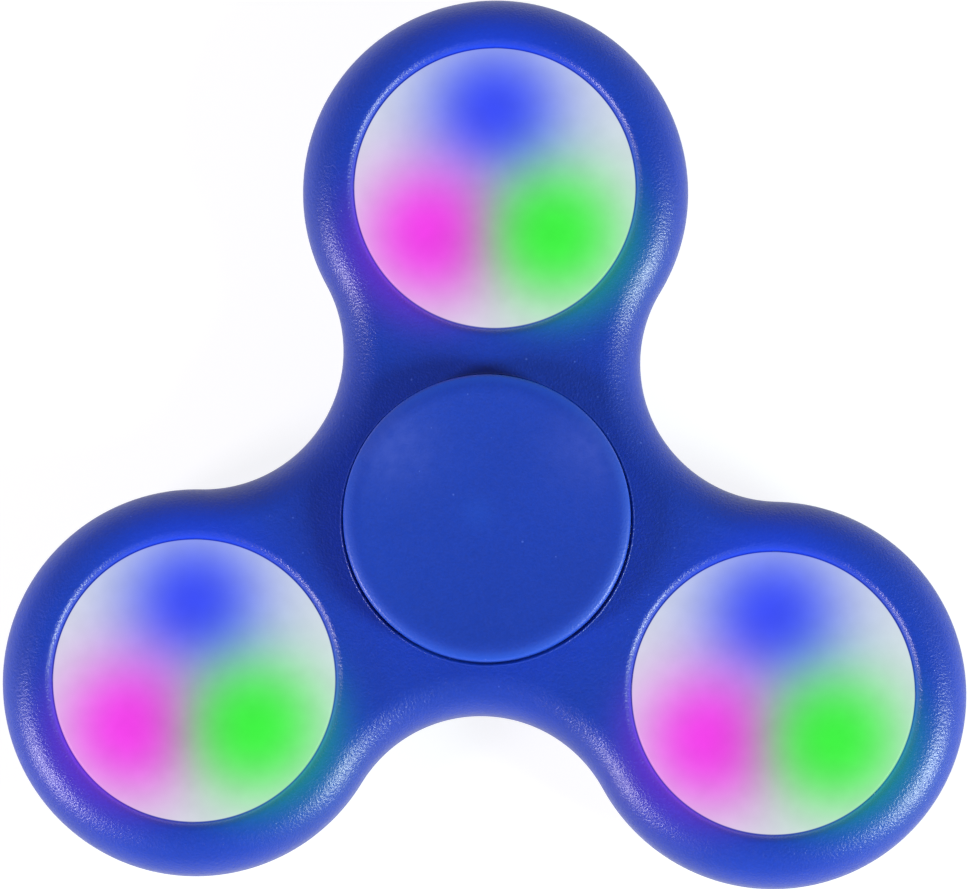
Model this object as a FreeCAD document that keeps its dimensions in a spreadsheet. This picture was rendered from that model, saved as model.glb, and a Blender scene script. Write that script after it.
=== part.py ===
import FreeCAD, Part
import math
import os
import re
import Sketcher

# A light-up fidget spinner: a three-lobed moulded body that turns on a 608 ball bearing between two finger
# caps. Each lobe holds a lamp: a frosted capsule with a circuit board, three coloured LEDs, three button cells
# and a mode button in its back cover. The spin axis is Z, the origin is the centre of the bottom cap's rest
# plane, and lamp 1 lies along +Y. Units are millimetres and degrees.

DOC = FreeCAD.newDocument("fidget_spinner")
SHEET = DOC.addObject("Spreadsheet::Sheet", "dims")
LAMPS = {1: 90, 2: 210, 3: 330}
CELLS = {1: 30, 2: 150, 3: 270}
POSTS = (90, 210, 330)
BALLS = 7

# Driving dimensions: alias, value, what it is.
DIMENSIONS = (
    ("overall", 13.0, "height over both finger caps"),
    ("pitch", 26.0, "spin axis to the axis of each lamp"),
    ("lobe_rad", 15.1, "outside of each lobe"),
    ("body_thick", 8.0, "body, front face to back face"),
    ("body_round", 3.2, "rounding of the body's outer edges"),
    ("seat_bevel", 0.3, "lead-in of the bearing seat"),
    ("well_rad", 11.05, "lamp well"),
    ("well_round", 0.7, "rounding of the lamp well's edges"),
    ("mark_rad", 0.8, "ejector-pin mark on the back face"),
    ("mark_deep", 0.1, "depth of an ejector-pin mark"),
    ("mark_side", 6.5, "ejector-pin mark, sideways from the lobe's centre line"),
    ("mark_out", 13.0, "ejector-pin mark, along the lobe's centre line"),
    ("ring_rad", 11.0, "bearing outside, and the seat it is pressed in"),
    ("bore_rad", 4.0, "bearing bore, and the stems pressed in it"),
    ("ring_wide", 7.0, "bearing width"),
    ("ring_bevel", 0.3, "bevel of the bearing rings"),
    ("ball_rad", 1.9845, "bearing ball"),
    ("ball_pitch", 7.5, "radius of the circle of ball centres"),
    ("groove_rad", 2.04, "raceway groove section"),
    ("race_gap", 0.01, "running gap between a ball and each raceway"),
    ("land_in", 6.25, "shoulder of the inner ring"),
    ("land_out", 8.75, "shoulder of the outer ring"),
    ("shield_rad", 9.35, "shield outside, and its recess in the outer ring"),
    ("shield_hole", 6.5, "shield inside"),
    ("shield_inset", 0.3, "shield below the ring face"),
    ("shield_thick", 0.25, "shield sheet"),
    ("shield_rim", 0.6, "height of the shield's turned rim"),
    ("cage_in", 6.75, "cage ribbon inside"),
    ("cage_out", 8.25, "cage ribbon outside"),
    ("cage_thick", 0.35, "cage sheet"),
    ("pocket_gap", 0.05, "clearance of a ball in its pocket"),
    ("rivet_rad", 0.3, "cage rivet shank"),
    ("rivet_head", 0.5, "cage rivet head"),
    ("rivet_lip", 0.15, "height of a rivet head"),
    ("cap_rad", 11.15, "finger cap outside"),
    ("cap_thick", 2.0, "finger cap disc"),
    ("dish_rad", 8.8, "edge of the finger dish"),
    ("dish_deep", 0.45, "depth of the finger dish"),
    ("rest_rad", 9.75, "outer edge of the flat ring round the dish"),
    ("brow_rad", 2.2, "rounding outside the flat ring"),
    ("edge_rad", 0.25, "rounding of the cap's outer corner"),
    ("cap_bevel", 0.15, "bevel of the cap's inner corner"),
    ("relief_in", 6.8, "inside of the relief under the cap"),
    ("relief_out", 10.2, "outside of the relief under the cap"),
    ("relief_deep", 0.5, "depth of the relief under the cap"),
    ("boss_rad", 5.6, "shoulder of the cap that bears on the inner ring"),
    ("boss_tall", 1.0, "height of that shoulder"),
    ("stem_long", 3.4, "stem in the bearing bore"),
    ("stem_bevel", 0.3, "bevel at the stem's end"),
    ("pin_rad", 2.2, "pin that joins the two caps"),
    ("pin_long", 4.4, "length of that pin past the stem"),
    ("pin_bevel", 0.4, "bevel at the pin's end"),
    ("socket_spare", 0.4, "room past the end of the pin"),
    ("lens_rad", 11.0, "lamp capsule outside"),
    ("lens_wall", 0.9, "wall of the capsule"),
    ("lens_crown", 0.2, "dome of the lens"),
    ("lens_round", 0.25, "rounding of the lens edge"),
    ("front_recess", 0.35, "lens edge below the body's front face"),
    ("ledge_wide", 0.6, "ledge that the circuit board rests on"),
    ("rib_wide", 0.55, "grip rib on the capsule"),
    ("rib_root", 0.2, "root of the rib inside the capsule's outside"),
    ("rib_rise", 0.05, "rib standing above the lens edge"),
    ("rib_start", 0.8, "rib starting above the back cover"),
    ("back_recess", 0.35, "back cover below the body's back face"),
    ("cover_thick", 0.8, "back cover"),
    ("cover_round", 0.25, "rounding of the back cover's edge"),
    ("lip_wide", 0.45, "locating lip of the back cover"),
    ("lip_tall", 0.25, "height of that lip"),
    ("post_rad", 1.1, "post that holds the circuit board"),
    ("post_out", 8.3, "radius of the circle of posts"),
    ("bump_rad", 1.2, "bump that presses a cell contact"),
    ("bump_tall", 0.15, "height of that bump"),
    ("strap_thick", 0.15, "cell contact sheet"),
    ("strap_rad", 2.2, "round end of a cell contact"),
    ("strap_wide", 1.5, "bar of a cell contact"),
    ("leg_side", 5.0, "leg of the single contact, sideways from its cell"),
    ("leg_wide", 1.2, "width of that leg"),
    ("cell_rad", 3.95, "button cell"),
    ("cell_tall", 3.6, "button cell"),
    ("cell_cap_rad", 3.1, "negative cap of a cell"),
    ("cell_cap_tall", 0.35, "height of the negative cap"),
    ("cell_bevel", 0.2, "bevel of a cell's can"),
    ("cell_out", 6.0, "radius of the circle of cells"),
    ("board_rad", 9.9, "circuit board"),
    ("board_thick", 0.6, "circuit board"),
    ("via_rad", 0.45, "plated hole in the board"),
    ("via_out", 3.1, "radius of the circle of plated holes"),
    ("led_long", 3.5, "LED package"),
    ("led_wide", 2.8, "LED package"),
    ("led_tall", 0.75, "LED package"),
    ("led_up", 6.2, "blue LED above the lamp's centre"),
    ("led_side", 5.0, "pink and green LEDs, sideways"),
    ("led_down", 3.7, "pink and green LEDs below the lamp's centre"),
    ("led_mouth", 1.15, "LED reflector at its mouth"),
    ("led_floor", 0.8, "LED reflector at its floor"),
    ("led_deep", 0.3, "depth of the LED reflector"),
    ("chip_rad", 1.9, "resin blob over the driver chip"),
    ("chip_tall", 0.6, "height of that blob"),
    ("switch_wide", 2.7, "push switch case"),
    ("switch_tall", 1.2, "push switch case"),
    ("switch_wall", 0.3, "switch case wall that the button's stem passes"),
    ("switch_base", 0.15, "switch case at the board"),
    ("switch_room", 1.1, "radius of the room for the snap dome"),
    ("dome_rad", 1.05, "snap dome"),
    ("dome_tall", 0.4, "height of the snap dome"),
    ("dome_thick", 0.08, "snap dome sheet"),
    ("slide_gap", 0.1, "clearance round the mode button and its stem"),
    ("button_rad", 1.5, "mode button"),
    ("button_proud", 0.4, "mode button standing out of the back cover"),
    ("button_round", 0.3, "rounding of the mode button"),
    ("flange_rad", 1.95, "flange that keeps the mode button in"),
    ("flange_thick", 0.4, "thickness of that flange"),
    ("stem_rad", 0.6, "button stem that presses the snap dome"),
)

# Places that follow from the driving dimensions, as expressions.
DERIVED = {
    "mid": "overall / 2",
    "front_face": "mid + body_thick / 2",
    "back_face": "mid - body_thick / 2",
    "waist_rad": "pitch - lobe_rad",
    "groove_shift": "groove_rad - ball_rad - race_gap",
    "groove_half": "sqrt(groove_rad ^ 2 - (land_out - ball_pitch + groove_shift) ^ 2)",
    "rim_level": "ring_wide / 2 - shield_inset - shield_rim",
    "stem_end": "cap_thick + boss_tall + stem_long",
    "pin_end": "stem_end + pin_long",
    "socket_end": "pin_end + socket_spare",
    "brow_out": "cap_rad - edge_rad",
    "brow_drop": "brow_rad - sqrt(brow_rad ^ 2 - (brow_out - rest_rad) ^ 2)",
    "dish_curve": "(dish_rad ^ 2 + dish_deep ^ 2) / (2 * dish_deep)",
    "lens_edge": "front_face - front_recess",
    "lens_inside": "lens_edge - lens_wall",
    "lens_flat": "lens_rad - lens_round",
    "lens_curve": "(lens_flat ^ 2 + lens_crown ^ 2) / (2 * lens_crown)",
    "cup_inside": "lens_rad - lens_wall",
    "cover_out": "back_face + back_recess",
    "cover_in": "cover_out + cover_thick",
    "strap_low": "cover_in + bump_tall",
    "cell_low": "strap_low + strap_thick",
    "board_low": "cell_low + cell_tall",
    "board_high": "board_low + board_thick",
    "switch_low": "board_low - switch_tall",
    "room_high": "board_low - switch_base",
    "dome_low": "room_high - dome_tall",
    "dome_curve": "(dome_rad ^ 2 + dome_tall ^ 2) / (2 * dome_tall)",
    "dome_in": "dome_rad - dome_thick",
    "dome_depth": "dome_tall - dome_thick",
    "dome_in_curve": "(dome_in ^ 2 + dome_depth ^ 2) / (2 * dome_depth)",
    "flange_high": "cover_in + flange_thick",
    "leg_top": "board_low",
}
ALIASES = {alias for alias, _, _ in DIMENSIONS}


def expression(text):
    """A FreeCAD expression, from one written with the plain names of DIMENSIONS and DERIVED."""
    def replace(match):
        word = match.group(0)
        if word in DERIVED:
            return "(" + expression(DERIVED[word]) + ")"
        return "dims." + word if word in ALIASES else word
    return re.sub(r"[a-z_]+", replace, text)


def value(text):
    """The number that an expression gives now."""
    return float(SHEET.evalExpression(expression(text)))


def write_sheet():
    """Fills the spreadsheet: a column of names, one of numbers with aliases, and one of notes."""
    for row, (alias, number, note) in enumerate(DIMENSIONS, start=1):
        SHEET.set(f"A{row}", alias)
        SHEET.set(f"B{row}", str(number))
        SHEET.set(f"C{row}", note)
        SHEET.setAlias(f"B{row}", alias)
    DOC.recompute()


def bind(thing, **sizes):
    """Binds properties of an object to expressions; __ in a name stands for a dot."""
    for name, text in sizes.items():
        thing.setExpression(name.replace("__", "."), expression(text))
    return thing


def place(thing, x="0", y="0", z="0"):
    """Binds an object's position to expressions."""
    return bind(thing, Placement__Base__x=x, Placement__Base__y=y, Placement__Base__z=z)


def polar(radius, angle):
    """Expressions for the x and y of a point on a circle about the origin."""
    return f"{radius} * cos({angle})", f"{radius} * sin({angle})"


# Sketches and turned bodies -------------------------------------------------------------------------------------

def origin_feature(body, role):
    return [feature for feature in body.Origin.OriginFeatures if feature.Role == role][0]


def sketch_on(body, name, role, level="0"):
    """A sketch on one of the body's own origin planes, raised from it by an expression."""
    sketch = body.newObject("Sketcher::SketchObject", name)
    sketch.AttachmentSupport = (origin_feature(body, role), [""])
    sketch.MapMode = "FlatFace"
    bind(sketch, AttachmentOffset__Base__z=level)
    return sketch


def hold(sketch, text, *constraint):
    """Adds one dimensional constraint and binds it to an expression."""
    index = sketch.addConstraint(Sketcher.Constraint(*constraint, value(text)))
    sketch.setExpression(f"Constraints[{index}]", expression(text))


def hold_point(sketch, geometry, end, x, y):
    """Holds one point of a sketch at expressions x and y from the sketch's origin."""
    for kind, text, axis in (("DistanceX", x, -2), ("DistanceY", y, -1)):
        if abs(value(text)) < 1e-9:
            sketch.addConstraint(Sketcher.Constraint("PointOnObject", geometry, end, axis))
        else:
            hold(sketch, text, kind, -1, 1, geometry, end)


def arc_between(start, end, radius, side):
    """The short arc from start to end; side 1 has its centre on the left of the way, and -1 on the right."""
    way = end - start
    left = FreeCAD.Vector(-way.y, way.x, 0).normalize()
    height = math.sqrt(max(radius ** 2 - (way.Length / 2) ** 2, 0))
    centre = (start + end) / 2 + left * side * height
    first, last = (start, end) if side > 0 else (end, start)
    low = math.atan2(first.y - centre.y, first.x - centre.x)
    high = math.atan2(last.y - centre.y, last.x - centre.x)
    if high < low:
        high += 2 * math.pi
    return Part.ArcOfCircle(Part.Circle(centre, FreeCAD.Vector(0, 0, 1), radius), low, high)


def outline(sketch, points):
    """A closed outline. A point is (x, y), reached by a line, or (x, y, radius, side), reached by an arc."""
    spots = [FreeCAD.Vector(value(point[0]), value(point[1]), 0) for point in points]
    count = len(points)
    starts = []
    ends = []
    first = sketch.GeometryCount
    for i in range(count):
        target = points[(i + 1) % count]
        start = spots[i]
        end = spots[(i + 1) % count]
        turned_back = len(target) == 4 and target[3] < 0
        starts.append(2 if turned_back else 1)
        ends.append(1 if turned_back else 2)
        if len(target) == 4:
            sketch.addGeometry(arc_between(start, end, value(target[2]), target[3]), False)
        else:
            sketch.addGeometry(Part.LineSegment(start, end), False)
    for i in range(count):
        before = (i - 1) % count
        meet = Sketcher.Constraint("Coincident", first + before, ends[before], first + i, starts[i])
        sketch.addConstraint(meet)
        hold_point(sketch, first + i, starts[i], points[i][0], points[i][1])
    for i in range(count):
        target = points[(i + 1) % count]
        if len(target) == 4:
            hold(sketch, target[2], "Radius", first + i)


def ring(sketch, x, y, radius):
    """A circle of the sketch, bound to expressions."""
    centre = FreeCAD.Vector(value(x), value(y), 0)
    index = sketch.addGeometry(Part.Circle(centre, FreeCAD.Vector(0, 0, 1), value(radius)), False)
    hold_point(sketch, index, 3, x, y)
    hold(sketch, radius, "Radius", index)


def new_body(label):
    return DOC.addObject("PartDesign::Body", label)


def pad(body, sketch, length):
    feature = body.newObject("PartDesign::Pad", sketch.Name + "_pad")
    feature.Profile = sketch
    return bind(feature, Length=length)


def pocket(body, sketch, length, reverse=False):
    """A pocket below its sketch, or above it with reverse."""
    feature = body.newObject("PartDesign::Pocket", sketch.Name + "_pocket")
    feature.Profile = sketch
    feature.Reversed = reverse
    return bind(feature, Length=length)


def revolve(body, sketch, kind="Revolution", axis="V_Axis"):
    feature = body.newObject("PartDesign::" + kind, sketch.Name + "_turn")
    feature.Profile = sketch
    feature.ReferenceAxis = (sketch, [axis])
    feature.Angle = 360
    return feature


def pattern(body, feature, count):
    """The feature repeated about the body's own Z axis."""
    feature.Document.recompute()
    repeat = body.newObject("PartDesign::PolarPattern", feature.Name + "_pattern")
    repeat.Originals = [feature]
    repeat.Axis = (origin_feature(body, "Z_Axis"), [""])
    repeat.Angle = 360
    repeat.Occurrences = count
    body.Tip = repeat
    return repeat


def turned(label, points):
    """A body turned about its own Z axis from an outline of (radius, height) points."""
    body = new_body(label)
    sketch = sketch_on(body, label + "_section", "XZ_Plane")
    outline(sketch, points)
    revolve(body, sketch)
    return body


def flipped(points, about):
    """The same outline upside down, where about is the sum of a height and its mirrored height."""
    return [(p[0], f"{about} - ({p[1]})", *((p[2], -p[3]) if len(p) == 4 else ())) for p in points]


# Simple solids and booleans -------------------------------------------------------------------------------------

def solid(kind, name, **sizes):
    return bind(DOC.addObject("Part::" + kind, name), **sizes)


def cylinder(name, radius, x, y, low, high):
    return place(solid("Cylinder", name, Radius=radius, Height=f"{high} - ({low})"), x, y, low)


def block(name, x, y, low, length, width, height):
    """A box centred on x and y."""
    box = solid("Box", name, Length=length, Width=width, Height=height)
    return place(box, f"{x} - ({length}) / 2", f"{y} - ({width}) / 2", low)


def fuse(label, pieces):
    joined = DOC.addObject("Part::MultiFuse", label)
    joined.Shapes = pieces
    return joined


def cut(label, base, tool):
    result = DOC.addObject("Part::Cut", label)
    result.Base = base
    result.Tool = tool
    return result


def common(label, base, tool):
    result = DOC.addObject("Part::Common", label)
    result.Base = base
    result.Tool = tool
    return result


# Body -----------------------------------------------------------------------------------------------------------

def lobe_outline():
    """Three lobes and three waists of tangent arcs, whose centres are the corners of one hexagon."""
    points = []
    for angle in LAMPS.values():
        centre = polar("pitch", angle)
        for turn in (-120, 0, 120):
            reach = polar("lobe_rad", angle + turn)
            spot = (f"{centre[0]} + {reach[0]}", f"{centre[1]} + {reach[1]}")
            arc = ("waist_rad", -1) if turn == -120 else ("lobe_rad", 1)
            points.append(spot + arc)
    return points


def bore_section(centre, radius):
    """Section of a straight hole through the body, from its axis out."""
    spare = "1"
    return [
        (centre, f"back_face - {spare}"),
        (f"{centre} + {radius}", f"back_face - {spare}"),
        (f"{centre} + {radius}", f"front_face + {spare}"),
        (centre, f"front_face + {spare}"),
    ]


def bevelled_bore(centre, radius, bevel):
    """Section of a through hole with a bevelled mouth at both faces of the body."""
    spare = "1"
    wide = f"{centre} + {radius} + {bevel} + {spare}"
    return [
        (centre, f"back_face - {spare}"),
        (wide, f"back_face - {spare}"),
        (f"{centre} + {radius}", f"back_face + {bevel}"),
        (f"{centre} + {radius}", f"front_face - {bevel}"),
        (wide, f"front_face + {spare}"),
        (centre, f"front_face + {spare}"),
    ]


def face_edges(shape, radius=None):
    """Names of the edges that lie in the body's front or back face, or only the circles of one radius there."""
    faces = (value("back_face"), value("front_face"))
    names = []
    for i, edge in enumerate(shape.Edges, start=1):
        level = min(abs(edge.BoundBox.ZMin - z) + abs(edge.BoundBox.ZMax - z) for z in faces)
        if level > 1e-4:
            continue
        if radius is None or abs(getattr(edge.Curve, "Radius", 0) - radius) < 1e-4:
            names.append(f"Edge{i}")
    return names


def spinner_body():
    body = new_body("spinner_body")
    shape = sketch_on(body, "body_outline", "XY_Plane", "back_face")
    outline(shape, lobe_outline())
    slab = pad(body, shape, "body_thick")
    DOC.recompute()

    rounding = body.newObject("PartDesign::Fillet", "body_rounding")
    rounding.Base = (slab, face_edges(slab.Shape))
    bind(rounding, Radius="body_round")

    seat = sketch_on(body, "bearing_seat", "XZ_Plane")
    outline(seat, bevelled_bore("0", "ring_rad", "seat_bevel"))
    revolve(body, seat, "Groove")

    well = sketch_on(body, "lamp_well", "YZ_Plane")
    outline(well, bore_section("pitch", "well_rad"))
    axis = well.addGeometry(Part.LineSegment(FreeCAD.Vector(value("pitch"), 0, 0),
                                             FreeCAD.Vector(value("pitch"), 1, 0)), True)
    hold_point(well, axis, 1, "pitch", "0")
    well.addConstraint(Sketcher.Constraint("Vertical", axis))
    hold(well, "1", "DistanceY", axis, 1, axis, 2)
    wells = pattern(body, revolve(body, well, "Groove", "Axis0"), len(LAMPS))
    DOC.recompute()
    edges = body.newObject("PartDesign::Fillet", "well_rounding")
    edges.Base = (wells, face_edges(wells.Shape, value("well_rad")))
    bind(edges, Radius="well_round")
    body.Tip = edges

    marks = sketch_on(body, "ejector_marks", "XY_Plane", "back_face")
    for side in ("", "-"):
        ring(marks, f"{side}mark_side", "mark_out", "mark_rad")
    pattern(body, pocket(body, marks, "mark_deep", reverse=True), len(LAMPS))
    return body


# Bearing --------------------------------------------------------------------------------------------------------

def outer_ring():
    section = [
        ("ring_rad - ring_bevel", "-ring_wide / 2"),
        ("ring_rad", "-ring_wide / 2 + ring_bevel"),
        ("ring_rad", "ring_wide / 2 - ring_bevel"),
        ("ring_rad - ring_bevel", "ring_wide / 2"),
        ("shield_rad", "ring_wide / 2"),
        ("shield_rad", "rim_level"),
        ("land_out", "rim_level"),
        ("land_out", "groove_half"),
        ("ball_pitch + ball_rad + race_gap", "0", "groove_rad", -1),
        ("land_out", "-groove_half", "groove_rad", -1),
        ("land_out", "-rim_level"),
        ("shield_rad", "-rim_level"),
        ("shield_rad", "-ring_wide / 2"),
    ]
    return place(turned("bearing_outer_ring", section), z="mid")


def inner_ring():
    section = [
        ("bore_rad + ring_bevel", "-ring_wide / 2"),
        ("land_in", "-ring_wide / 2"),
        ("land_in", "-groove_half"),
        ("ball_pitch - ball_rad - race_gap", "0", "groove_rad", -1),
        ("land_in", "groove_half", "groove_rad", -1),
        ("land_in", "ring_wide / 2"),
        ("bore_rad + ring_bevel", "ring_wide / 2"),
        ("bore_rad", "ring_wide / 2 - ring_bevel"),
        ("bore_rad", "-ring_wide / 2 + ring_bevel"),
    ]
    return place(turned("bearing_inner_ring", section), z="mid")


def shield(label, top):
    """A sheet washer with a rim turned towards the balls."""
    face = "ring_wide / 2 - shield_inset"
    section = [
        ("shield_hole", f"{face} - shield_thick"),
        ("shield_rad - shield_thick", f"{face} - shield_thick"),
        ("shield_rad - shield_thick", f"{face} - shield_rim"),
        ("shield_rad", f"{face} - shield_rim"),
        ("shield_rad", face),
        ("shield_hole", face),
    ]
    return place(turned(label, section if top else flipped(section, "0")), z="mid")


def ball(number):
    x, y = polar("ball_pitch", f"360 * {number - 1} / {BALLS}")
    return place(solid("Sphere", f"bearing_ball_{number}", Radius="ball_rad"), x, y, "mid")


def rivet_spot(number):
    return polar("ball_pitch", f"360 * {number - 0.5} / {BALLS}")


def cage_half(label, low, high):
    """Half of a ribbon cage: flat between the balls and bulged round each of them."""
    tube = cut(label + "_tube", cylinder(label + "_outside", "cage_out", "0", "0", low, high),
               cylinder(label + "_inside", "cage_in", "0", "0", low, high))
    sheet_low = low if low == "mid" else "mid - cage_thick"
    sheet_high = high if high == "mid" else "mid + cage_thick"
    raised = [cylinder(label + "_sheet", "cage_out", "0", "0", sheet_low, sheet_high)]
    hollow = []
    for number in range(1, BALLS + 1):
        x, y = polar("ball_pitch", f"360 * {number - 1} / {BALLS}")
        bulge = solid("Sphere", f"{label}_bulge_{number}", Radius="ball_rad + pocket_gap + cage_thick")
        raised.append(place(bulge, x, y, "mid"))
        room = solid("Sphere", f"{label}_room_{number}", Radius="ball_rad + pocket_gap")
        hollow.append(place(room, x, y, "mid"))
        hollow.append(cylinder(f"{label}_hole_{number}", "rivet_rad", *rivet_spot(number), low, high))
    ribbon = common(label + "_ribbon", tube, fuse(label + "_raised", raised))
    return cut(label, ribbon, fuse(label + "_hollow", hollow))


def cage_rivets():
    pieces = []
    for number in range(1, BALLS + 1):
        x, y = rivet_spot(number)
        name = f"rivet_{number}"
        pieces.append(cylinder(name, "rivet_rad", x, y, "mid - cage_thick", "mid + cage_thick"))
        pieces.append(cylinder(name + "_head", "rivet_head", x, y, "mid + cage_thick",
                               "mid + cage_thick + rivet_lip"))
        pieces.append(cylinder(name + "_tail", "rivet_head", x, y, "mid - cage_thick - rivet_lip",
                               "mid - cage_thick"))
    return fuse("cage_rivets", pieces)


# Finger caps ----------------------------------------------------------------------------------------------------

def cap_section(middle):
    """Section of the bottom cap from the stem outwards, round the edge and back to the dish."""
    under = "cap_thick"
    return middle + [
        ("bore_rad - stem_bevel", "stem_end"),
        ("bore_rad", "stem_end - stem_bevel"),
        ("bore_rad", "cap_thick + boss_tall"),
        ("boss_rad", "cap_thick + boss_tall"),
        ("boss_rad", under),
        ("relief_in", under),
        ("relief_in", f"{under} - relief_deep"),
        ("relief_out", f"{under} - relief_deep"),
        ("relief_out", under),
        ("cap_rad - cap_bevel", under),
        ("cap_rad", f"{under} - cap_bevel"),
        ("cap_rad", "brow_drop + edge_rad"),
        ("brow_out", "brow_drop", "edge_rad", -1),
        ("rest_rad", "0", "brow_rad", -1),
        ("dish_rad", "0"),
        ("0", "dish_deep", "dish_curve", 1),
    ]


def finger_caps():
    pin = [
        ("0", "pin_end"),
        ("pin_rad - pin_bevel", "pin_end"),
        ("pin_rad", "pin_end - pin_bevel"),
        ("pin_rad", "stem_end"),
    ]
    socket = [
        ("0", "overall - socket_end"),
        ("pin_rad", "overall - socket_end"),
        ("pin_rad", "stem_end"),
    ]
    bottom = turned("bottom_finger_cap", cap_section(pin))
    top = turned("top_finger_cap", flipped(cap_section(socket), "overall"))
    return [bottom, top]


# Lamps ----------------------------------------------------------------------------------------------------------

def front_lens(label):
    """The frosted capsule: a domed lens, a wall, an inner ledge and four grip ribs."""
    ledge = "cup_inside - ledge_wide"
    body = turned(label, [
        ("0", "lens_inside"),
        (ledge, "lens_inside"),
        (ledge, "board_high"),
        ("cup_inside", "board_high"),
        ("cup_inside", "cover_in"),
        ("lens_rad", "cover_in"),
        ("lens_rad", "lens_edge - lens_round"),
        ("lens_flat", "lens_edge", "lens_round", 1),
        ("0", "lens_edge + lens_crown", "lens_curve", 1),
    ])
    rib = sketch_on(body, label + "_rib", "XY_Plane", "cover_in + rib_start")
    half = "rib_wide / 2"
    reach = f"sqrt(well_rad ^ 2 - ({half}) ^ 2)"
    outline(rib, [
        ("lens_rad - rib_root", f"-{half}"),
        (reach, f"-{half}"),
        (reach, half, "well_rad", 1),
        ("lens_rad - rib_root", half),
    ])
    bar = pad(body, rib, "lens_edge + rib_rise - cover_in - rib_start")
    pattern(body, bar, 4)
    return body


def back_cover(label):
    """The cover that closes the capsule, with its lip, board posts, contact bumps and button hole."""
    hole = "button_rad + slide_gap"
    body = turned(label, [
        (hole, "cover_out"),
        ("lens_rad - cover_round", "cover_out"),
        ("lens_rad", "cover_out + cover_round", "cover_round", 1),
        ("lens_rad", "cover_in"),
        ("cup_inside", "cover_in"),
        ("cup_inside", "cover_in + lip_tall"),
        ("cup_inside - lip_wide", "cover_in + lip_tall"),
        ("cup_inside - lip_wide", "cover_in"),
        (hole, "cover_in"),
    ])
    posts = sketch_on(body, label + "_posts", "XY_Plane", "cover_in")
    for angle in POSTS:
        ring(posts, *polar("post_out", angle), "post_rad")
    pad(body, posts, "board_low - cover_in")
    bumps = sketch_on(body, label + "_bumps", "XY_Plane", "cover_in")
    for angle in CELLS.values():
        ring(bumps, *polar("cell_out", angle), "bump_rad")
    pad(body, bumps, "bump_tall")
    return body


def circuit_board(label):
    body = new_body(label)
    shape = sketch_on(body, label + "_outline", "XY_Plane", "board_low")
    ring(shape, "0", "0", "board_rad")
    for angle in LAMPS.values():
        ring(shape, *polar("via_out", angle + 60), "via_rad")
    pad(body, shape, "board_thick")
    return body


def led(label, x, y):
    """A surface-mount LED package with a conical reflector."""
    package = block(label + "_package", x, y, "board_high", "led_long", "led_wide", "led_tall")
    cup = solid("Cone", label + "_cup", Radius1="led_floor", Radius2="led_mouth", Height="led_deep")
    place(cup, x, y, "board_high + led_tall - led_deep")
    return cut(label, package, cup)


def button_cell(label, cap_up):
    """A button cell whose negative cap looks up or down; its own origin is the middle of its underside."""
    shoulder = "cell_tall - cell_cap_tall"
    section = [
        ("0", "0"),
        ("cell_rad - cell_bevel", "0"),
        ("cell_rad", "cell_bevel"),
        ("cell_rad", f"{shoulder} - cell_bevel"),
        ("cell_rad - cell_bevel", shoulder),
        ("cell_cap_rad", shoulder),
        ("cell_cap_rad", "cell_tall"),
        ("0", "cell_tall"),
    ]
    return turned(label, section if cap_up else flipped(section, "cell_tall"))


def cell_contacts(label):
    """A bar that joins cells 1 and 2 below, and a single contact under cell 3 with a leg up to the board."""
    pieces = []
    for number, angle in CELLS.items():
        x, y = polar("cell_out", angle)
        pieces.append(cylinder(f"{label}_pad_{number}", "strap_rad", x, y, "strap_low", "cell_low"))
    y = polar("cell_out", CELLS[1])[1]
    pieces.append(block(label + "_bar", "0", y, "strap_low", "2 * cell_out * cos(30)", "strap_wide", "strap_thick"))
    pieces.append(block(label + "_arm", "leg_side / 2", "-cell_out", "strap_low", "leg_side", "strap_wide",
                        "strap_thick"))
    pieces.append(block(label + "_leg", "leg_side - strap_thick / 2", "-cell_out", "strap_low", "strap_thick",
                        "leg_wide", "leg_top - (strap_low)"))
    return fuse(label, pieces)


def driver_chip(label):
    """A blob of resin over the driver chip."""
    curve = "(chip_rad ^ 2 + chip_tall ^ 2) / (2 * chip_tall)"
    return turned(label, [
        ("0", "board_high"),
        ("chip_rad", "board_high"),
        ("0", "board_high + chip_tall", curve, 1),
    ])


def switch_case(label):
    case = block(label + "_case", "0", "0", "switch_low", "switch_wide", "switch_wide", "switch_tall")
    room = cylinder(label + "_room", "switch_room", "0", "0", "switch_low + switch_wall", "room_high")
    hole = cylinder(label + "_hole", "stem_rad + slide_gap", "0", "0", "switch_low", "room_high")
    return cut(label, case, fuse(label + "_hollow", [room, hole]))


def switch_dome(label):
    """The steel snap dome, bulged towards the button."""
    return turned(label, [
        ("0", "dome_low"),
        ("dome_rad", "room_high", "dome_curve", 1),
        ("dome_in", "room_high"),
        ("0", "dome_low + dome_thick", "dome_in_curve", -1),
    ])


def mode_button(label):
    """The push button: its head in the back cover, the flange that keeps it in, and the stem."""
    return turned(label, [
        ("0", "cover_out - button_proud"),
        ("button_rad - button_round", "cover_out - button_proud"),
        ("button_rad", "cover_out - button_proud + button_round", "button_round", 1),
        ("button_rad", "cover_in"),
        ("flange_rad", "cover_in"),
        ("flange_rad", "flange_high"),
        ("stem_rad", "flange_high"),
        ("stem_rad", "dome_low"),
        ("0", "dome_low"),
    ])


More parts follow.
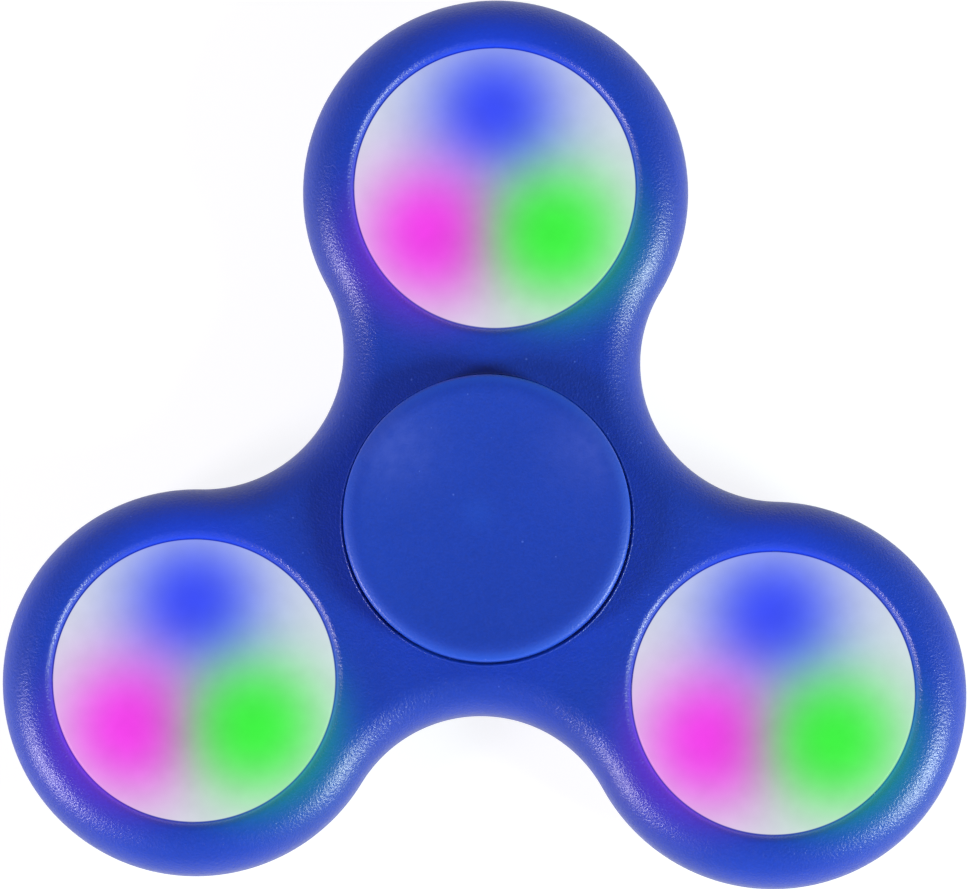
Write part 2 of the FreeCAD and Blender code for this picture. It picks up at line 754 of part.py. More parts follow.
def lamp(number, angle):
    """All the pieces of one lamp. Every lamp has the same orientation, so its blue LED is on the +Y side."""
    name = f"lamp_{number}_"
    pieces = [
        front_lens(name + "front_lens"),
        back_cover(name + "back_cover"),
        circuit_board(name + "circuit_board"),
        led(name + "blue_led", "0", "led_up"),
        led(name + "pink_led", "-led_side", "-led_down"),
        led(name + "green_led", "led_side", "-led_down"),
        cell_contacts(name + "cell_contacts"),
        driver_chip(name + "driver_chip"),
        switch_case(name + "switch_case"),
        switch_dome(name + "switch_dome"),
        mode_button(name + "mode_button"),
    ]
    lamp_x, lamp_y = polar("pitch", angle)
    for piece in pieces:
        place(piece, lamp_x, lamp_y)
    for index, cell_angle in CELLS.items():
        x, y = polar("cell_out", cell_angle)
        cell = button_cell(f"{name}cell_{index}", cap_up=index == 2)
        pieces.append(place(cell, f"{lamp_x} + {x}", f"{lamp_y} + {y}", "cell_low"))
    return pieces


# Building, checking and writing ---------------------------------------------------------------------------------

def build():
    parts = [spinner_body(), outer_ring(), inner_ring()]
    parts += [shield("bearing_shield_top", True), shield("bearing_shield_bottom", False)]
    parts += [ball(number) for number in range(1, BALLS + 1)]
    reach = "ball_rad + pocket_gap + cage_thick"
    parts.append(cage_half("cage_upper_half", "mid", f"mid + {reach}"))
    parts.append(cage_half("cage_lower_half", f"mid - ({reach})", "mid"))
    parts.append(cage_rivets())
    parts += finger_caps()
    for number, angle in LAMPS.items():
        parts += lamp(number, angle)
    DOC.recompute()
    return parts


def check(parts):
    """Stops if any object failed, or if a sub-part has no valid solid."""
    failed = [thing.Name for thing in DOC.Objects if {"Invalid", "Error"} & set(thing.State)]
    if failed:
        raise RuntimeError("failed: " + ", ".join(failed))
    for thing in DOC.Objects:
        if thing.TypeId in ("PartDesign::Groove", "PartDesign::Pocket"):
            if thing.Shape.Volume >= thing.BaseFeature.Shape.Volume - 1e-6:
                raise RuntimeError(thing.Name + " cuts nothing")
    for part in parts:
        if part.Shape.isNull() or not part.Shape.isValid() or not part.Shape.Solids:
            raise RuntimeError(part.Label + " has no valid solid")


def write(parts):
    os.makedirs("parts", exist_ok=True)
    for part in parts:
        part.Shape.exportStep(f"parts/{part.Label}.step")
        box = part.Shape.BoundBox
        print(f"{part.Label:26} {len(part.Shape.Solids)} solid  {part.Shape.Volume:9.2f} mm3  "
              f"z {box.ZMin:6.2f} to {box.ZMax:6.2f}")
    print(len(parts), "parts")


write_sheet()
PARTS = build()
check(PARTS)
write(PARTS)
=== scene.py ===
import bmesh
import bpy
import math
from mathutils import Matrix, Vector
from mathutils.geometry import delaunay_2d_cdt


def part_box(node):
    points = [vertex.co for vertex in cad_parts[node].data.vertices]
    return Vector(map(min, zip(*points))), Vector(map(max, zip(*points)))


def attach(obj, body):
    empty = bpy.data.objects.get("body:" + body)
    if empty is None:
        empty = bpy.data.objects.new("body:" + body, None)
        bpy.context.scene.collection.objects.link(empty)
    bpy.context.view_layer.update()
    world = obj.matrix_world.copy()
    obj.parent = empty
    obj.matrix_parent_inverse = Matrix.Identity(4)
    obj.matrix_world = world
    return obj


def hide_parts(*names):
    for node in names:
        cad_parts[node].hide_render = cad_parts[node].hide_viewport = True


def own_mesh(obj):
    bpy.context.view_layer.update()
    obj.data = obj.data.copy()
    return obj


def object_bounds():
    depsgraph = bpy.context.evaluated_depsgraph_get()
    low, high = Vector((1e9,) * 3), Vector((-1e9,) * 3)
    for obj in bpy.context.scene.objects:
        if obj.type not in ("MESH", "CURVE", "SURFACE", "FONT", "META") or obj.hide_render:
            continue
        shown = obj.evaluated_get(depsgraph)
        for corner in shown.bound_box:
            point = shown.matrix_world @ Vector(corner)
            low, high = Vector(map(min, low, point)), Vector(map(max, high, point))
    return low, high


# The looks of a light-up fidget spinner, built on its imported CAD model. Lengths in this file are
# millimetres until they become mesh or camera positions, which are metres. The studio's lengths are
# metres. Constants that are angles are degrees.

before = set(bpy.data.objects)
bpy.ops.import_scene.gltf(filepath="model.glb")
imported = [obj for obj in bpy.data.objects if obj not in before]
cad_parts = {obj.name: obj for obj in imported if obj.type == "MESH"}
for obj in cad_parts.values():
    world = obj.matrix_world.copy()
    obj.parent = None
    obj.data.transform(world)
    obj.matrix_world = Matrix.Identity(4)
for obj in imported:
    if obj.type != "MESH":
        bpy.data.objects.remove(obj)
cad_low, cad_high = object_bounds()
MM = 0.001

LOBES = 3
LAMPS = (1, 2, 3)
BALLS = 7
FRONT = 1
BACK = -1
AXIS = Vector((0, 0, 0))


def box_mm(node):
    """A CAD node's lowest and highest corners in millimetres."""
    low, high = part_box(node)
    return Vector(low) / MM, Vector(high) / MM


def middle(node):
    low, high = box_mm(node)
    return (low + high) / 2


# Sizes read from the frame.
BODY_LOW, BODY_HIGH = box_mm("spinner_body")
LENS_LOW = box_mm("lamp_1_front_lens")[0]
COVER_LOW, COVER_HIGH = box_mm("lamp_1_back_cover")
BUTTON_LOW, BUTTON_HIGH = box_mm("lamp_1_mode_button")
TOTAL = cad_high.z / MM
FRONT_FACE = BODY_HIGH.z
BACK_FACE = BODY_LOW.z
MID = (FRONT_FACE + BACK_FACE) / 2
LAMP_SPOTS = {n: middle(f"lamp_{n}_front_lens") for n in LAMPS}
PITCH = LAMP_SPOTS[1].y
LOBE_RAD = BODY_HIGH.y - PITCH
WAIST_RAD = PITCH - LOBE_RAD
CAP_RAD = box_mm("bottom_finger_cap")[1].x
RING_RAD = box_mm("bearing_outer_ring")[1].x

# Sizes inside those boxes.
BODY_ROUND = 3.2
SEAT_BEVEL = 0.3
WELL_RAD = 11.05
WELL_ROUND = 0.7
LENS_RAD = 11.0
LENS_SUNK = 0.35
LENS_EDGE = FRONT_FACE - LENS_SUNK
LENS_CROWN = 0.2

# Roundings that many edges share.
TIGHT_ROUND = 0.05
FINE_ROUND = 0.08
SMALL_ROUND = 0.1
OUTER_ROUND = 0.25


# Camera -------------------------------------------------------------------------------------------

SENSOR = 36.0
CAMERA_LENS = 286.8
CLIP_NEAR = 10.0
CLIP_FAR = 10000.0
CAMERA_AWAY = 600.0
CAMERA_TARGET = Vector((-0.43, 5.87, LENS_EDGE))
CAMERA_DOWN = 4.526
CAMERA_RIGHT = 1.011
CAMERA_ROLL = 1.224


def make_camera():
    """A long lens almost straight above the front, a little below the middle and slightly rolled."""
    data = bpy.data.cameras.new("camera")
    data.sensor_width = SENSOR
    data.lens = CAMERA_LENS
    data.clip_start = CLIP_NEAR * MM
    data.clip_end = CLIP_FAR * MM
    camera = bpy.data.objects.new("camera", data)
    bpy.context.scene.collection.objects.link(camera)
    back = Vector((math.sin(math.radians(CAMERA_RIGHT)), -math.sin(math.radians(CAMERA_DOWN)), 0))
    back.z = math.sqrt(1 - back.length_squared)
    camera.location = (CAMERA_TARGET + back * CAMERA_AWAY) * MM
    level = Vector((1, 0, 0)) - back * back.x
    level.normalize()
    roll = math.radians(CAMERA_ROLL)
    right = level * math.cos(roll) + back.cross(level) * math.sin(roll)
    turn = Matrix((right, back.cross(right), back)).transposed()
    camera.rotation_mode = "QUATERNION"
    camera.rotation_quaternion = turn.to_quaternion()
    bpy.context.scene.camera = camera


make_camera()


# Meshes -------------------------------------------------------------------------------------------

SHARP_ANGLE = 42
ON_AXIS = 1e-6
SAME_SPOT = 1e-6
INSIDE_ONLY = 1


def finish_mesh(name, bm, body, *nodes):
    """Makes an object of the mesh, which stands for CAD nodes and moves with a CAD body."""
    bmesh.ops.recalc_face_normals(bm, faces=bm.faces)
    mesh = bpy.data.meshes.new(name)
    bm.to_mesh(mesh)
    bm.free()
    mesh.shade_smooth()
    mesh.set_sharp_from_angle(angle=math.radians(SHARP_ANGLE))
    piece = bpy.data.objects.new(name, mesh)
    bpy.context.scene.collection.objects.link(piece)
    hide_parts(*nodes)
    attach(piece, body)
    return piece


def heading(degrees):
    """A unit step in the XY plane; 0 is +X, turning towards +Y."""
    angle = math.radians(degrees)
    return Vector((math.cos(angle), math.sin(angle)))


def toward(a, b, distance):
    way = Vector(b) - Vector(a)
    return tuple(Vector(a) + way.normalized() * distance)


def rounded(points, closed=True, steps=5, support=0.04):
    """Points of a section with its corners rounded. A point is (x, y) or (x, y, corner radius). Where
    there is room, a rounded corner has a close point on both sides, which keeps the shading of the
    faces beside it flat."""
    result = []
    count = len(points)
    for i, point in enumerate(points):
        radius = point[2] if len(point) == 3 else 0
        spot = point[:2]
        before = points[(i - 1) % count][:2]
        after = points[(i + 1) % count][:2]
        if not radius or (not closed and i in (0, count - 1)):
            result.append(spot)
            continue
        a = Vector(before) - Vector(spot)
        b = Vector(after) - Vector(spot)
        half = a.angle(b) / 2
        reach = radius / math.tan(half)
        between = (a.normalized() + b.normalized()).normalized()
        centre = Vector(spot) + between * radius / math.sin(half)
        first = Vector(toward(spot, before, reach)) - centre
        turn = math.pi - 2 * half
        if first.cross(Vector(toward(spot, after, reach)) - centre) < 0:
            turn = -turn
        if a.length > reach + 2 * support:
            result.append(toward(spot, before, reach + support))
        for step in range(steps + 1):
            angle = turn * step / steps
            cos, sin = math.cos(angle), math.sin(angle)
            x = centre.x + first.x * cos - first.y * sin
            y = centre.y + first.x * sin + first.y * cos
            result.append((x, y))
        if b.length > reach + 2 * support:
            result.append(toward(spot, after, reach + support))
    return result


def quarter_round(edge, radius, steps):
    """A quarter circle from the front face down to an upright wall at edge, as (place, height). A
    place is a radius, or an inset of the outer wall."""
    points = []
    for step in range(steps + 1):
        angle = math.pi / 2 * step / steps
        inwards = radius * (1 - math.sin(angle))
        down = radius * (1 - math.cos(angle))
        points.append((edge + inwards, FRONT_FACE - down))
    return points


def both_halves(front):
    """A section of the body's front half, with its mirror image behind the middle."""
    return front + [(place, 2 * MID - height) for place, height in reversed(front)]


def circle(count):
    return [2 * math.pi * i / count for i in range(count)]


def lathe(bm, section, centre, angles, closed=False, shape=None):
    """Turns a section of (radius, height) points about the upright axis through centre. Where it isn't
    round, shape gives the radius for an angle, a section's radius and its height."""
    rows = []
    for radius, height in section:
        if radius < ON_AXIS:
            rows.append([bm.verts.new(Vector((centre.x, centre.y, height)) * MM)])
            continue
        row = []
        for angle in angles:
            r = shape(angle, radius, height) if shape else radius
            spot = Vector((centre.x + r * math.cos(angle), centre.y + r * math.sin(angle), height))
            row.append(bm.verts.new(spot * MM))
        rows.append(row)
    pairs = list(zip(rows, rows[1:]))
    if closed:
        pairs.append((rows[-1], rows[0]))
    for low, high in pairs:
        join_rows(bm, low, high)
    return rows


def join_rows(bm, low, high):
    """Quads between two closed rows of points, or a fan where one row is a single point."""
    count = max(len(low), len(high))
    for i in range(count):
        j = (i + 1) % count
        if len(low) == 1 and len(high) == 1:
            continue
        if len(low) == 1:
            bm.faces.new((low[0], high[j], high[i]))
        elif len(high) == 1:
            bm.faces.new((low[i], low[j], high[0]))
        else:
            bm.faces.new((low[i], low[j], high[j], high[i]))


def fill_flat(bm, outside, holes):
    """Fills the flat face between closed rows of points with triangles. The holes are round."""
    rows = [outside] + holes
    corners = [vertex for row in rows for vertex in row]
    owners = [i for i, row in enumerate(rows) for _ in row]
    edges = []
    for row in rows:
        first = len(edges)
        edges += [(first + i, first + (i + 1) % len(row)) for i in range(len(row))]
    spots = [vertex.co.xy / MM for vertex in corners]
    filled = delaunay_2d_cdt(spots, edges, [], INSIDE_ONLY, SAME_SPOT)
    faces, origins = filled[2], filled[3]
    for face in faces:
        chosen = [origins[i][0] for i in face]
        # A triangle with all its corners on one hole lies inside that hole.
        if len({owners[i] for i in chosen}) > 1 or owners[chosen[0]] == 0:
            bm.faces.new([corners[i] for i in chosen])


# Body ---------------------------------------------------------------------------------------------

OUTLINE_STEP = 2.0
LOBE_ARC = 240
WAIST_ARC = 120
WALL_STEPS = 16
PARTING_RISE = 0.03
PARTING_HALF = 0.07
FLAT_MARGIN = 0.03
WELL_STEPS = 12
WELL_SUPPORT = 0.05
LIP_WIDE = 0.18
LIP_RISE = 0.03
LIP_STEPS = 8
LIP_ROUND = 0.02
SEAT_SUPPORT = 0.03
HOLE_STEPS = 180
MARK_RAD = 0.8
MARK_FLARE = 0.08
MARK_TAPER = 0.04
MARK_DEEP = 0.1
MARK_LIP_ROUND = 0.04
MARK_FOOT_ROUND = 0.03
MARK_SUPPORT = 0.02
MARK_STEPS = 40
MARK_SIDE = 6.5
MARK_OUT = 13.0


def outline_points():
    """Centre, direction and radius of each outline point. The radius is negative where the centre lies
    outside the body."""
    points = []
    for lobe in range(LOBES):
        middle_angle = 90 + 360 / LOBES * lobe
        centre = heading(middle_angle) * PITCH
        steps = round(LOBE_ARC / OUTLINE_STEP)
        for step in range(steps):
            angle = middle_angle - LOBE_ARC / 2 + LOBE_ARC * step / steps
            points.append((centre, heading(angle), LOBE_RAD))
        waist_angle = middle_angle + 180 / LOBES
        centre = heading(waist_angle) * PITCH
        steps = round(WAIST_ARC / OUTLINE_STEP)
        for step in range(steps):
            angle = waist_angle + 180 + WAIST_ARC / 2 - WAIST_ARC * step / steps
            points.append((centre, heading(angle), -WAIST_RAD))
    return points


def body_wall():
    """The outer wall from the front flat to the back flat, as (inset, height), with a fine parting
    line at its middle."""
    front = [(BODY_ROUND + FLAT_MARGIN, FRONT_FACE)]
    front += quarter_round(0, BODY_ROUND, WALL_STEPS)
    front += [(0, MID + 2 * PARTING_HALF), (0, MID + PARTING_HALF)]
    front.append((-PARTING_RISE, MID + PARTING_HALF / 3))
    return both_halves(front)


def seat_wall():
    """The bearing seat from the front flat to the back flat: a low lip round each mouth, then the
    lead-in."""
    mouth = RING_RAD + SEAT_BEVEL
    front = [(mouth + LIP_WIDE + FLAT_MARGIN, FRONT_FACE)]
    for step in range(LIP_STEPS + 1):
        part = step / LIP_STEPS
        rise = LIP_RISE * math.sin(math.pi * part) ** 2
        front.append((mouth + LIP_WIDE * (1 - part), FRONT_FACE + rise))
    lead_in = [
        front[-1],
        (mouth - LIP_ROUND, FRONT_FACE - LIP_ROUND, LIP_ROUND),
        (RING_RAD, FRONT_FACE - SEAT_BEVEL, FINE_ROUND),
        (RING_RAD, MID),
    ]
    front += rounded(lead_in, closed=False, support=SEAT_SUPPORT)[1:-1]
    return both_halves(front)


def well_wall():
    """A lamp well from the front flat to the back flat, with rounded edges."""
    front = [(WELL_RAD + WELL_ROUND + FLAT_MARGIN, FRONT_FACE)]
    front += quarter_round(WELL_RAD, WELL_ROUND, WELL_STEPS)
    front.append((WELL_RAD, FRONT_FACE - WELL_ROUND - WELL_SUPPORT))
    return both_halves(front)


def mark_wall():
    """The section of an ejector-pin mark, from the back flat to its middle."""
    return rounded([
        (MARK_RAD + MARK_FLARE, BACK_FACE),
        (MARK_RAD, BACK_FACE, MARK_LIP_ROUND),
        (MARK_RAD - MARK_TAPER, BACK_FACE + MARK_DEEP, MARK_FOOT_ROUND),
        (0, BACK_FACE + MARK_DEEP),
    ], closed=False, support=MARK_SUPPORT, steps=3)


def build_body():
    """The body: its outer wall, the seat, three wells, six marks on the back, and the flats between."""
    bm = bmesh.new()
    outline = outline_points()
    rows = []
    for inset, height in body_wall():
        row = []
        for centre, direction, radius in outline:
            spot = centre + direction * (abs(radius) - inset * (1 if radius > 0 else -1))
            row.append(bm.verts.new(Vector((spot.x, spot.y, height)) * MM))
        rows.append(row)
    for low, high in zip(rows, rows[1:]):
        join_rows(bm, low, high)
    fronts = []
    backs = []
    holes = [(AXIS, seat_wall())] + [(LAMP_SPOTS[n], well_wall()) for n in LAMPS]
    for centre, section in holes:
        turned = lathe(bm, section, centre, circle(HOLE_STEPS))
        fronts.append(turned[0])
        backs.append(turned[-1])
    mark = mark_wall()
    for lobe in range(LOBES):
        turn = Matrix.Rotation(math.radians(360 / LOBES * lobe), 3, "Z")
        for side in (-1, 1):
            spot = turn @ Vector((side * MARK_SIDE, MARK_OUT, 0))
            backs.append(lathe(bm, mark, spot, circle(MARK_STEPS))[0])
    fill_flat(bm, rows[0], fronts)
    fill_flat(bm, rows[-1], backs)
    return finish_mesh("body_shell", bm, "rotor", "spinner_body")


# Finger caps --------------------------------------------------------------------------------------

CAP_THICK = 2.0
CAP_STEPS = 256

# The dish rises to a ring, its slope growing to the one named here and fading out over the crest. The
# brow falls from the ring to the edge.
REST_RAD = 10.05
DISH_SLOPE = 0.11
DISH_STEPS = 80
CREST = 0.5
BROW_RAD = 2.5
BROW_STEPS = 8
CAP_EDGE = 0.3
EDGE_STEPS = 7
EDGE_SUPPORT = 0.05

# The underside: rim, hollow, plate, hub and stem.
RIM_TALL = 0.4
RIM_IN = 10.2
RIM_ROUND = 0.15
HOLLOW_DEEP = 0.5
PLATE_RAD = 6.8
HUB_RAD = 5.6
HUB_END = 3.0
STEM_RAD = 4.0
STEM_END = 6.4
STEM_CUT = 0.3
PIN_RAD = 2.2
PIN_END = 10.8
PIN_CUT = 0.4
SOCKET_END = 1.8

# What the stem ends in, as (radius, depth): the back cap's pin enters the front cap's socket.
PIN = [(PIN_RAD, STEM_END), (PIN_RAD, PIN_END - PIN_CUT), (PIN_RAD - PIN_CUT, PIN_END), (0, PIN_END)]
SOCKET = [(PIN_RAD, STEM_END), (PIN_RAD, SOCKET_END), (0, SOCKET_END)]


def cap_face():
    """The cap's outer face from the axis to its edge, as (radius, depth below its highest ring): a dish
    that steepens outwards and levels off at that ring, a falling brow and a tightly rounded edge."""
    points = [(REST_RAD, 0.0)]
    stride = REST_RAD / DISH_STEPS
    for step in range(DISH_STEPS - 1, -1, -1):
        radius = stride * step
        level = min(1.0, (REST_RAD - radius - stride / 2) / CREST)
        slope = DISH_SLOPE * (radius + stride / 2) / REST_RAD * level * level * (3 - 2 * level)
        points.append((radius, points[-1][1] + slope * stride))
    points.reverse()
    brow_out = CAP_RAD - CAP_EDGE
    last = math.asin((brow_out - REST_RAD) / BROW_RAD)
    for step in range(1, BROW_STEPS + 1):
        angle = last * step / BROW_STEPS
        points.append((REST_RAD + BROW_RAD * math.sin(angle), BROW_RAD * (1 - math.cos(angle))))
    drop = points[-1][1]
    for step in range(1, EDGE_STEPS + 1):
        angle = last + (math.pi / 2 - last) * step / EDGE_STEPS
        outwards = (math.sin(angle) - math.sin(last)) / (1 - math.sin(last))
        down = (math.cos(last) - math.cos(angle)) / math.cos(last)
        points.append((brow_out + CAP_EDGE * outwards, drop + CAP_EDGE * down))
    points.append((CAP_RAD, drop + CAP_EDGE + EDGE_SUPPORT))
    return points


def build_cap(name, node, side, ending):
    """A finger cap. side is FRONT or BACK, and ending is PIN or SOCKET."""
    section = cap_face() + rounded([
        (CAP_RAD, CAP_THICK - RIM_TALL),
        (CAP_RAD, CAP_THICK, RIM_ROUND),
        (RIM_IN, CAP_THICK, FINE_ROUND),
        (RIM_IN, CAP_THICK - HOLLOW_DEEP, SMALL_ROUND),
        (PLATE_RAD, CAP_THICK - HOLLOW_DEEP, SMALL_ROUND),
        (PLATE_RAD, CAP_THICK, FINE_ROUND),
        (HUB_RAD, CAP_THICK, FINE_ROUND),
        (HUB_RAD, HUB_END, SMALL_ROUND),
        (STEM_RAD, HUB_END),
        (STEM_RAD, STEM_END - STEM_CUT),
        (STEM_RAD - STEM_CUT, STEM_END),
    ] + ending, closed=False)
    if side == FRONT:
        section = [(radius, TOTAL - depth) for radius, depth in section]
    bm = bmesh.new()
    lathe(bm, section, AXIS, circle(CAP_STEPS))
    return finish_mesh(name, bm, "finger_grip", node)


# Lamps --------------------------------------------------------------------------------------------

CAPSULE_STEPS = 192
RIBS = 4
RIB_WIDE = 0.55
RIB_TOP = 1.0
RIB_FOOT = 1.25
RIB_PLACES = (-RIB_FOOT, -RIB_TOP, -0.6, 0, 0.6, RIB_TOP, RIB_FOOT)
RIB_START = 0.8
RIB_STOP = 0.2
RIB_CLEAR = 0.003
SAME_WALL = 0.01

LENS_WALL = 0.9
LENS_FLAT = 0.29
CROWN_BULGE = 0.05
CROWN_STEPS = 14
CAVITY_RAD = 9.5
LEDGE = 8.15
LEDGE_RAD = 10.1
SKIRT_SUPPORT = 0.9

HOLE_RAD = 1.6
COVER_THICK = 0.8
COVER_IN = COVER_LOW.z + COVER_THICK
BEAD_START = 0.4
BEAD_LOW = 0.35
BEAD_HIGH = 0.05
BEAD_CLEAR = 0.002
COVER_LIP_OUT = 10.08
COVER_LIP_IN = 9.65
COVER_LIP_TALL = 0.25
COVER_LIP_ROUND = 0.06
COVER_LIP_FOOT = 0.04
KNOB_ROUND = 0.06
KNOB_STEPS = 32
POST_RAD = 1.1
POST_OUT = 8.3
POSTS = (90, 210, 330)
BUMP_RAD = 1.2
BUMP_OUT = 6.0
BUMP_TALL = 0.15
BUMPS = (30, 150, 270)

BUTTON_RAD = 1.5
BUTTON_STEPS = 72
BUTTON_RIM = 1.14
BUTTON_DISH = 0.06
BUTTON_DISH_RADS = (0, 0.2, 0.4, 0.6, 0.8, 1.0, 1.1)
FLANGE_RAD = 1.95
FLANGE_THICK = 0.4
PLUNGER_RAD = 0.6

DOME_THICK = 0.08
DOME_ROWS = 12
DOME_STEPS = 48


def arc_points(start, end, sagitta, steps):
    """Points from start to end along a shallow arc; a positive sagitta bulges it to the left."""
    start, end = Vector(start), Vector(end)
    way = end - start
    left = Vector((-way.y, way.x)).normalized()
    points = []
    for step in range(steps + 1):
        part = step / steps
        points.append(tuple(start + way * part + left * sagitta * 4 * part * (1 - part)))
    return points


def rib_angles():
    """Turning angles of the capsule, closer together at its grip ribs, whose places are in half widths
    of a rib."""
    angles = set(round(angle, 6) for angle in circle(CAPSULE_STEPS))
    half = RIB_WIDE / 2 / LENS_RAD
    for rib in range(RIBS):
        for place in RIB_PLACES:
            angles.add(round((rib * 2 * math.pi / RIBS + half * place) % (2 * math.pi), 6))
    return sorted(angles)


def rib_shape(angle, radius, height):
    """The capsule wall's radius with its grip ribs, which end just below the lens edge."""
    if radius <= LENS_RAD - SAME_WALL or not LENS_LOW.z + RIB_START < height < LENS_EDGE - RIB_STOP:
        return radius
    spots = (rib * 2 * math.pi / RIBS for rib in range(RIBS + 1))
    away = min(abs((angle - spot + math.pi) % (2 * math.pi) - math.pi) for spot in spots)
    swell = (RIB_FOOT - away * LENS_RAD / (RIB_WIDE / 2)) / (RIB_FOOT - RIB_TOP)
    return radius + (WELL_RAD - LENS_RAD - RIB_CLEAR) * max(0.0, min(1.0, swell))


def build_lens(n):
    """The capsule's front: domed lens, wall and inner ledge."""
    crown = arc_points((LENS_RAD - LENS_FLAT, LENS_EDGE), (0, LENS_EDGE + LENS_CROWN), -CROWN_BULGE,
                       CROWN_STEPS)
    section = rounded([
        (0, LENS_EDGE - LENS_WALL),
        (CAVITY_RAD, LENS_EDGE - LENS_WALL, SMALL_ROUND),
        (CAVITY_RAD, LEDGE, TIGHT_ROUND),
        (LEDGE_RAD, LEDGE, SMALL_ROUND),
        (LEDGE_RAD, LENS_LOW.z, TIGHT_ROUND),
        (LENS_RAD, LENS_LOW.z, SMALL_ROUND),
        (LENS_RAD, LENS_LOW.z + SKIRT_SUPPORT),
        (LENS_RAD, LENS_EDGE, OUTER_ROUND),
        (LENS_RAD - LENS_FLAT, LENS_EDGE),
    ], closed=False) + crown[1:]
    bm = bmesh.new()
    lathe(bm, section, LAMP_SPOTS[n], rib_angles(), shape=rib_shape)
    return finish_mesh(f"lens_{n}", bm, "rotor", f"lamp_{n}_front_lens")


def build_cover(n):
    """The capsule's back cover: a disc with a hole for the button, a thin bead that closes the gap to
    the well, the lip that enters the lens, three posts for the board and three bumps for the cells."""
    spot = LAMP_SPOTS[n]
    bm = bmesh.new()
    section = rounded([
        (HOLE_RAD, COVER_LOW.z, FINE_ROUND),
        (LENS_RAD, COVER_LOW.z, OUTER_ROUND),
        (LENS_RAD, COVER_IN - BEAD_START),
        (WELL_RAD - BEAD_CLEAR, COVER_IN - BEAD_LOW),
        (WELL_RAD - BEAD_CLEAR, COVER_IN - BEAD_HIGH),
        (LENS_RAD, COVER_IN),
        (COVER_LIP_OUT, COVER_IN),
        (COVER_LIP_OUT, COVER_IN + COVER_LIP_TALL, COVER_LIP_ROUND),
        (COVER_LIP_IN, COVER_IN + COVER_LIP_TALL, COVER_LIP_ROUND),
        (COVER_LIP_IN, COVER_IN, COVER_LIP_FOOT),
        (HOLE_RAD, COVER_IN, FINE_ROUND),
    ], steps=4)
    lathe(bm, section, spot, circle(CAPSULE_STEPS), closed=True)
    knobs = [(angle, POST_RAD, POST_OUT, COVER_HIGH.z) for angle in POSTS]
    knobs += [(angle, BUMP_RAD, BUMP_OUT, COVER_IN + BUMP_TALL) for angle in BUMPS]
    for angle, radius, out, top in knobs:
        knob = rounded([(0, COVER_IN), (radius, COVER_IN), (radius, top, KNOB_ROUND), (0, top)],
                       closed=False, steps=3)
        lathe(bm, knob, spot + heading(angle).to_3d() * out, circle(KNOB_STEPS))
    return finish_mesh(f"cover_{n}", bm, "rotor", f"lamp_{n}_back_cover")


def build_button(n):
    """The mode button: a softly dished head, its flange and its plunger."""
    face = BUTTON_LOW.z
    section = []
    for radius in BUTTON_DISH_RADS:
        section.append((radius, face + BUTTON_DISH * (1 - (radius / BUTTON_DISH_RADS[-1]) ** 2)))
    section += rounded([
        (BUTTON_RIM, face),
        (BUTTON_RAD, face, OUTER_ROUND),
        (BUTTON_RAD, COVER_IN),
        (FLANGE_RAD, COVER_IN, TIGHT_ROUND),
        (FLANGE_RAD, COVER_IN + FLANGE_THICK, SMALL_ROUND),
        (PLUNGER_RAD, COVER_IN + FLANGE_THICK, SMALL_ROUND),
        (PLUNGER_RAD, BUTTON_HIGH.z, FINE_ROUND),
        (0, BUTTON_HIGH.z),
    ], closed=False)
    bm = bmesh.new()
    lathe(bm, section, LAMP_SPOTS[n], circle(BUTTON_STEPS))
    return finish_mesh(f"button_{n}", bm, f"mode_button_{n}", f"lamp_{n}_mode_button")


def dome_rows(radius, low, tall):
    """One side of the snap dome from its middle to its rim."""
    return [(radius * i / DOME_ROWS, low + tall * (i / DOME_ROWS) ** 2) for i in range(DOME_ROWS + 1)]


def build_dome(n):
    """The snap dome, on a mesh of its own."""
    low, high = box_mm(f"lamp_{n}_switch_dome")
    radius = (high.x - low.x) / 2
    tall = high.z - low.z
    outside = dome_rows(radius, low.z, tall)
    inside = dome_rows(radius - DOME_THICK, low.z + DOME_THICK, tall - DOME_THICK)
    bm = bmesh.new()
    lathe(bm, outside + inside[::-1], LAMP_SPOTS[n], circle(DOME_STEPS))
    piece = finish_mesh(f"dome_{n}", bm, "rotor", f"lamp_{n}_switch_dome")
    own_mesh(piece)
    return piece


# Materials ----------------------------------------------------------------------------------------

# Where the Mix node keeps its colour sockets.
MIX_A = 6
MIX_B = 7
MIX_RESULT = 2

BLACK = (0.0, 0.0, 0.0)


